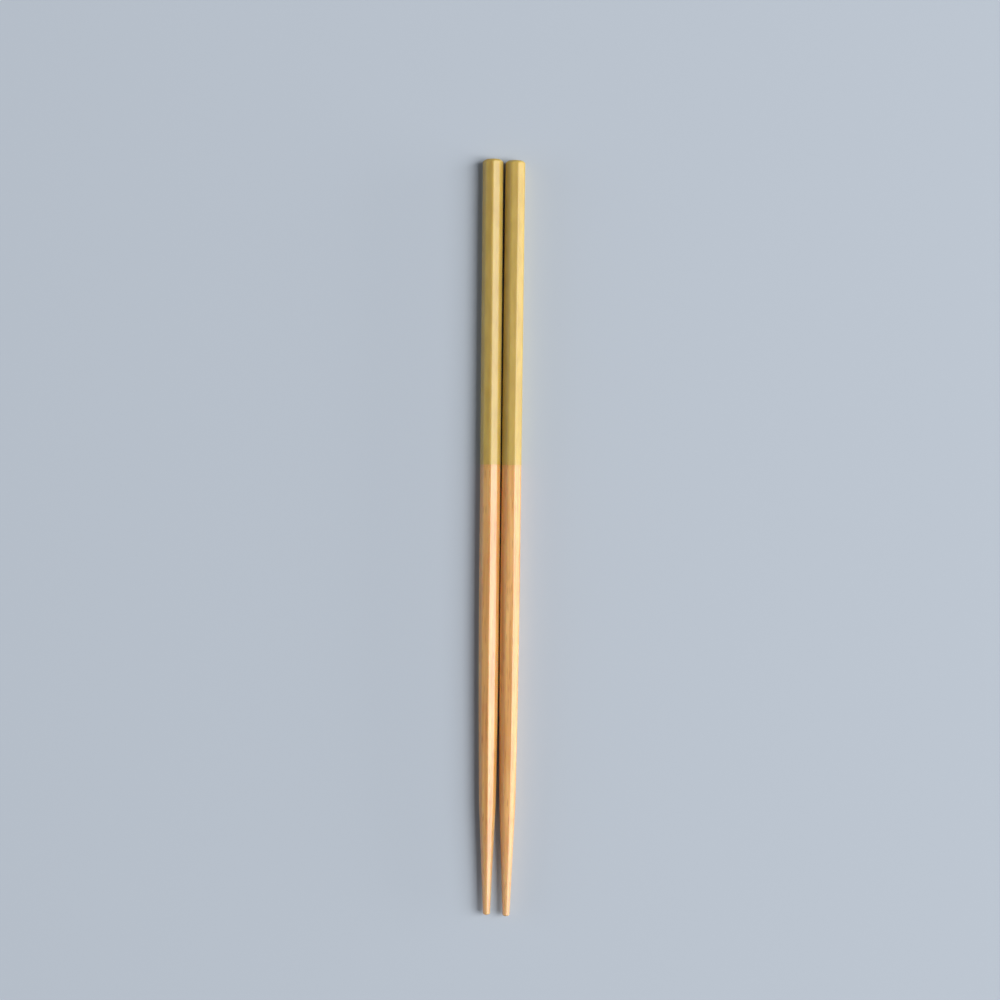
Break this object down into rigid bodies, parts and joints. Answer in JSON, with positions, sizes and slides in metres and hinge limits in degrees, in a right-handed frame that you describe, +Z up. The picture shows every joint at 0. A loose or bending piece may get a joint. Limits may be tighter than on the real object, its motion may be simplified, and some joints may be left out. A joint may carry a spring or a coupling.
{
  "type": "pair of bamboo cooking chopsticks",
  "caption": "Long octagonal bamboo cooking chopsticks with domed lacquered handles and round tapered tips, lying side by side.",
  "frame": {"origin": "on the surface the pair lies on, under the middle of the pair", "axes": "+Y from the tips to the handle ends, +X across the pair, +Z up"},
  "size_m": [0.0168, 0.3004, 0.0082],
  "materials": {
    "bamboo": "smooth sanded bamboo with fine straight grain, its handle end coated with opaque ochre yellow lacquer"
  },
  "bodies": {
    "root": {"left_chopstick": "bamboo", "right_chopstick": "bamboo"}
  },
  "joints": []
}
